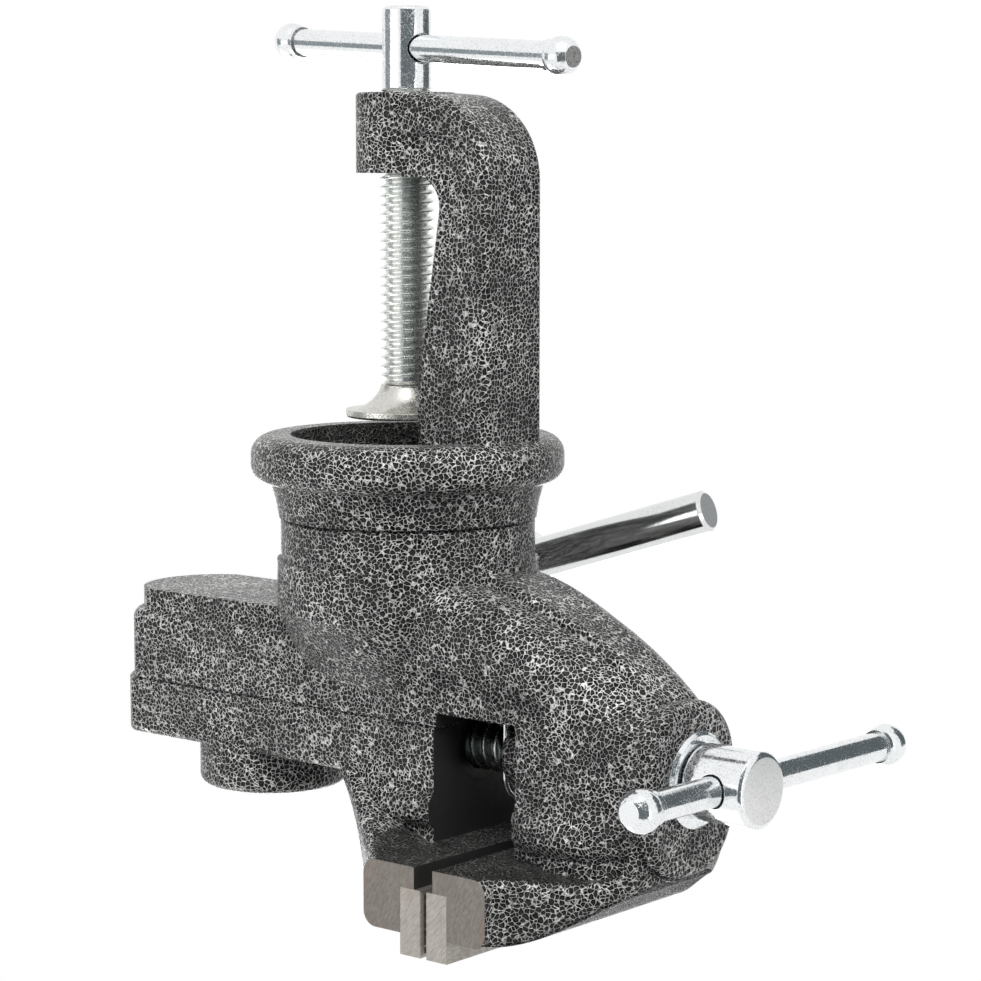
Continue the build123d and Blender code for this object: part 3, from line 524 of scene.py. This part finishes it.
along_y = Matrix.Translation((0, 0, AXIS_HEIGHT)) @ Matrix.Rotation(math.radians(-90), 4, "X")
front = HEAD_FACE - LEAD_HEAD_LENGTH
lead_head = [
    (HUB, front), (LEAD_HEAD_RADIUS - LEAD_HEAD_EDGE, front),
    (LEAD_HEAD_RADIUS - 0.5, front + 0.35), (LEAD_HEAD_RADIUS - 0.1, front + 0.8),
    (LEAD_HEAD_RADIUS, front + LEAD_HEAD_EDGE),
    (LEAD_HEAD_RADIUS, HEAD_FACE - LEAD_HEAD_EDGE), (LEAD_HEAD_RADIUS - 0.35, HEAD_FACE - 0.35),
    (LEAD_HEAD_RADIUS - LEAD_HEAD_EDGE, HEAD_FACE), (HUB, HEAD_FACE),
]
lead_screw = piece(
    "lead_screw_thread", [(lathe(lead_head, HEAD_STEPS), along_y)],
    "lead_screw", slots["lead_screw"], ZINC, "lead_screw",
)
carve(lead_screw, [cross_hole(
    (0, HEAD_FACE - LEAD_HEAD_LENGTH / 2, AXIS_HEIGHT),
    (math.cos(LEAD_BAR_SLOPE), 0, -math.sin(LEAD_BAR_SLOPE)), LEAD_BAR_RADIUS + BAR_PLAY,
)])
journal = [
    (HUB, HEAD_FACE - 0.8), (JOURNAL_RADIUS, HEAD_FACE - 0.8), (JOURNAL_RADIUS, THREAD_START),
    (HUB, THREAD_START),
]
lead_turns = thread(
    THREAD_START - 1, LEAD_END, LEAD_PITCH, LEAD_RADIUS, LEAD_ROOT, lead_limit,
    steps=56, rows=14,
)
add_shells(lead_screw, [(lathe(journal), along_y), (lead_turns, along_y)])


def is_lead_crest(centre, normal, lowest):
    from_axis = math.hypot(centre.x, centre.z - AXIS_HEIGHT)
    return centre.y > THREAD_START and from_axis > LEAD_RADIUS - 0.05


face_with(lead_screw, SAWN, lambda centre, normal, _: (
    normal.y < -FLAT and centre.y < front + NEAR))
face_with(lead_screw, OILED, lambda centre, *_: centre.y > THREAD_START - 2)
face_with(lead_screw, THREAD, is_lead_crest)

# Jaw plates with a diamond-cut face, and their countersunk screws with a hexagon socket
PLATE_SHARP = math.radians(20)
COLUMNS, ROWS, DIAMOND_DEPTH, RIM_DEPTH = 76, 16, 0.55, 0.4
PLATE_SCREW_PITCH, PLATE_SCREW_RISE = 24.0, 5.8
SCREW_HEAD, SCREW_SHANK, SCREW_SINK, SCREW_LENGTH = 4.7, 2.5, 0.3, 14.0
SCREW_CONE = SCREW_SINK + SCREW_HEAD - SCREW_SHANK
SOCKET_FLATS, SOCKET_DEPTH = 4.0, 2.6


def diamond_plate(low, high, face, back, away):
    """A block whose face is a grid of small pyramids, cut at 45 degrees."""
    bm = bmesh.new()
    grid = []
    for i in range(COLUMNS + 1):
        column = []
        for j in range(ROWS + 1):
            edge = i in (0, COLUMNS) or j in (0, ROWS)
            inner = i in (1, COLUMNS - 1) or j in (1, ROWS - 1)
            sunk = RIM_DEPTH if edge else 0.0 if inner or (i + j) % 2 else DIAMOND_DEPTH
            x = low.x + (high.x - low.x) * i / COLUMNS
            z = low.z + (high.z - low.z) * j / ROWS
            column.append(bm.verts.new((x, face + away * sunk, z)))
        grid.append(column)
    for i in range(COLUMNS):
        for j in range(ROWS):
            corners = [grid[i][j], grid[i + 1][j], grid[i + 1][j + 1], grid[i][j + 1]]
            if (i + j) % 2:
                corners = corners[1:] + corners[:1]
            bm.faces.new((corners[0], corners[1], corners[2]))
            bm.faces.new((corners[0], corners[2], corners[3]))
    rim = [e for e in bm.edges if e.is_boundary]
    walls = bmesh.ops.extrude_edge_only(bm, edges=rim)["geom"]
    for vert in [g for g in walls if isinstance(g, bmesh.types.BMVert)]:
        vert.co.y = back
    return closed(bm)


def socket_screw(steps=SINK_STEPS):
    """A countersunk screw along +Z, its head's face at SCREW_SINK, with a hexagon socket in it."""
    half = SOCKET_FLATS / 2
    sixth = math.pi / 3

    def hexagon(angle):
        return half / math.cos((angle + sixth / 2) % sixth - sixth / 2)

    bm = bmesh.new()
    skin_rings(bm, [circle(bm, radius, height, steps) for radius, height in (
        (half * 0.6, SCREW_SINK + SOCKET_DEPTH + 0.4), (hexagon, SCREW_SINK + SOCKET_DEPTH),
        (hexagon, SCREW_SINK + 0.2), (half + 0.35, SCREW_SINK), (SCREW_HEAD - 0.25, SCREW_SINK),
        (SCREW_HEAD - 0.08, SCREW_SINK + 0.12), (SCREW_SHANK - 0.02, SCREW_CONE),
        (SCREW_SHANK - 0.02, SCREW_SINK + SCREW_LENGTH), (HUB, SCREW_SINK + SCREW_LENGTH),
    )])
    return closed(bm)


def plate(jaw, away, body):
    """A jaw's plate and its two screws; away is the way along Y from the plate's face."""
    low, high = (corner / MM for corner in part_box(f"{jaw}_jaw_plate"))
    face, back = (high.y, low.y) if away < 0 else (low.y, high.y)
    made = piece(
        f"{jaw}_plate_diamond", [(diamond_plate(low, high, face, back, away), STILL)],
        body, slots[f"{jaw}_jaw_plate"], PLATE, f"{jaw}_jaw_plate",
    )
    made.data.set_sharp_from_angle(angle=PLATE_SHARP)
    turned = Matrix.Rotation(math.radians(-90 * away), 4, "X")
    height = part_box("front_jaw_plate")[0].z / MM + PLATE_SCREW_RISE
    places = [Matrix.Translation((side * PLATE_SCREW_PITCH, face, height)) @ turned
              for side in (-1, 1)]
    sink = [
        (HUB, -1), (SCREW_HEAD, -1), (SCREW_HEAD, SCREW_SINK), (SCREW_SHANK, SCREW_CONE),
        (SCREW_SHANK, 9), (HUB, 9),
    ]
    carve(made, [(lathe(sink, SINK_STEPS), place) for place in places], PLATE_SHARP)
    slot = slots[f"{jaw}_plate_screws"]
    piece(
        f"{jaw}_plate_socket_screws", [(socket_screw(), place) for place in places],
        body, slot, FINISHES[slot], f"{jaw}_plate_screws",
    )


plate("front", -1, "body")
plate("rear", 1, "slide")

# Sawn ends: the lock rod's, and the flats of the knobs
ROD_SPREAD, ROD_FALL = math.radians(12.5), math.radians(17.9)
ROD_WAY = (
    -math.sin(ROD_SPREAD) * math.cos(ROD_FALL), -math.cos(ROD_SPREAD) * math.cos(ROD_FALL),
    -math.sin(ROD_FALL),
)
for name, way, finish in (("lock_rod", ROD_WAY, SAWN), ("clamp_bar_knobs", CLAMP_BAR_WAY, CUT)):
    face_with(nodes[name], finish, lambda centre, normal, _: abs(normal.dot(Vector(way))) > 0.995)

for made in (clamp_screw, lead_screw):
    weigh_normals(made)

# Camera: below the vise and rolled upside down, as in the photograph
PHOTO_WIDTH, FOCAL_LENGTH, SENSOR = 981, 2889.5, 36     # pixels, pixels, millimetres
camera = placed("camera", bpy.data.cameras.new("camera"))
forward = Vector((-0.761, 0.638, 0.118)).normalized()
right = forward.cross(Vector((0, 0, 1))).normalized()
up = right.cross(forward)
turn = Matrix((-right, -up, -forward)).transposed()
camera.matrix_world = Matrix.Translation(Vector((514.3, -457.0, -67.9)) * MM) @ turn.to_4x4()
camera.data.sensor_width = SENSOR
camera.data.lens = FOCAL_LENGTH / PHOTO_WIDTH * SENSOR
camera.data.clip_start = 0.01
camera.data.clip_end = 20
bpy.context.scene.camera = camera

# Studio, in metres: soft lamps, glowing grey sheets that only the metal sees as painted
# reflections, a pale floor and background
FLOOR = -152 * MM
FLOOR_RADIUS = 0.85
SCREEN_RIM = 0.84
TARGET = Vector((0, 0, 0.02))


def lamp(name, place, size, power):
    """A soft rectangular lamp that faces the vise."""
    light = bpy.data.lights.new(name, "AREA")
    light.shape = "RECTANGLE"
    light.size, light.size_y = size
    light.energy = power
    holder = placed(name, light)
    holder.location = place
    holder.rotation_euler = (TARGET - Vector(place)).to_track_quat("-Z", "Y").to_euler()


lamp("key", (0.62, -0.5, -1.05), (0.7, 0.7), 19)
lamp("glint", (0.30, -1.2, -0.75), (0.25, 0.25), 1.6)
lamp("side", (0.2, -1.1, 0.1), (0.35, 0.9), 1.5)
lamp("left", (1.1, 0.55, -0.35), (1.3, 1.3), 4.5)
lamp("top", (0.1, 0.9, 1.0), (0.9, 0.9), 6)
lamp("rear", (-1.0, 0.9, 0.6), (0.6, 0.9), 6)


def screen(name, start, end, inner, high, tone, steps=12):
    """A glowing grey sheet that only reflections see, a painted reflection: on the floor from inner
    to the rim, then up to high.

    It reaches from the angle start to the angle end about the swivel axis, in degrees.
    """
    bm = bmesh.new()
    rows = []
    for i in range(steps + 1):
        angle = math.radians(start + (end - start) * i / steps)
        way = Vector((math.cos(angle), math.sin(angle), 0))
        rise = Vector((0, 0, 1))
        rows.append([bm.verts.new(way * reach + rise * height) for reach, height in (
            (inner, FLOOR + MM), (SCREEN_RIM, FLOOR + MM), (SCREEN_RIM, high))])
    for near, far in zip(rows, rows[1:]):
        for j in range(2):
            bm.faces.new((near[j], far[j], far[j + 1], near[j + 1]))
    made = placed(name, bpy.data.meshes.new(name))
    bm.to_mesh(made.data)
    bm.free()
    t = Tree(name)
    shown = t.add("ShaderNodeEmission", {"Color": linear(tone, tone + 7, tone + 10)})
    t.feed(t.nodes["Material Output"].inputs["Surface"], shown.outputs[0])
    made.data.materials.append(t.material)
    made.visible_camera = False
    made.visible_diffuse = False
    made.visible_shadow = False


screen("screen_front", start=-80, end=-14, inner=0.22, high=0.45, tone=104)
screen("screen_right", start=-175, end=-128, inner=0.28, high=0.17, tone=92)
screen("screen_left", start=41, end=77, inner=0.3, high=0.1, tone=140)

# World: white where it is seen directly or mirrored, and a dim fill from below and above
WHITE, FILL_BELOW, FILL_ABOVE = 1.0, 0.16, 0.08
world = bpy.data.worlds.new("studio")
bpy.context.scene.world = world
world.use_nodes = True
tree = world.node_tree
background = tree.nodes["Background"]
path = tree.nodes.new("ShaderNodeLightPath")
seen = path.outputs["Is Camera Ray"]
for kind in ("Is Glossy Ray", "Is Transmission Ray"):
    either = tree.nodes.new("ShaderNodeMath")
    either.operation = "MAXIMUM"
    tree.links.new(seen, either.inputs[0])
    tree.links.new(path.outputs[kind], either.inputs[1])
    seen = either.outputs[0]
split = tree.nodes.new("ShaderNodeSeparateXYZ")
tree.links.new(tree.nodes.new("ShaderNodeTexCoord").outputs["Generated"], split.inputs[0])
fill = tree.nodes.new("ShaderNodeMapRange")
tree.links.new(split.outputs["Z"], fill.inputs["Value"])
for socket, number in (
        ("From Min", -1.0), ("From Max", 1.0), ("To Min", FILL_BELOW), ("To Max", FILL_ABOVE)):
    fill.inputs[socket].default_value = number
strength = tree.nodes.new("ShaderNodeMix")
strength.data_type = "FLOAT"
tree.links.new(seen, strength.inputs[0])
tree.links.new(fill.outputs[0], strength.inputs[2])
strength.inputs[3].default_value = WHITE
background.inputs["Color"].default_value = (1, 1, 1, 1)
tree.links.new(strength.outputs[0], background.inputs["Strength"])

# The floor is white in the metal, lets the low lamps through and still takes the vise's shadow
FLOOR_GLOW = 0.45
bpy.ops.mesh.primitive_circle_add(
    vertices=96, radius=FLOOR_RADIUS, fill_type="NGON", location=(0, 0, FLOOR))
floor = bpy.context.object
floor.name = "floor"
t = Tree("floor")
floor.data.materials.append(t.finish((0.86, 0.86, 0.86, 1), 0.7, 0.0))
rays = t.add("ShaderNodeLightPath").outputs
white = t.add("ShaderNodeEmission", {"Strength": WHITE})
glow = t.math("MULTIPLY", rays["Is Camera Ray"], FLOOR_GLOW)
glowing = t.add("ShaderNodeEmission", {"Strength": glow})
lit = t.add("ShaderNodeAddShader", {0: t.shader.outputs[0], 1: glowing.outputs[0]})
shown = t.add(
    "ShaderNodeMixShader", {0: rays["Is Glossy Ray"], 1: lit.outputs[0], 2: white.outputs[0]})
clear = t.add("ShaderNodeBsdfTransparent")
through = t.add(
    "ShaderNodeMixShader", {0: rays["Is Shadow Ray"], 1: shown.outputs[0], 2: clear.outputs[0]})
t.feed(t.nodes["Material Output"].inputs["Surface"], through.outputs[0])

bpy.context.scene.view_settings.view_transform = "Standard"
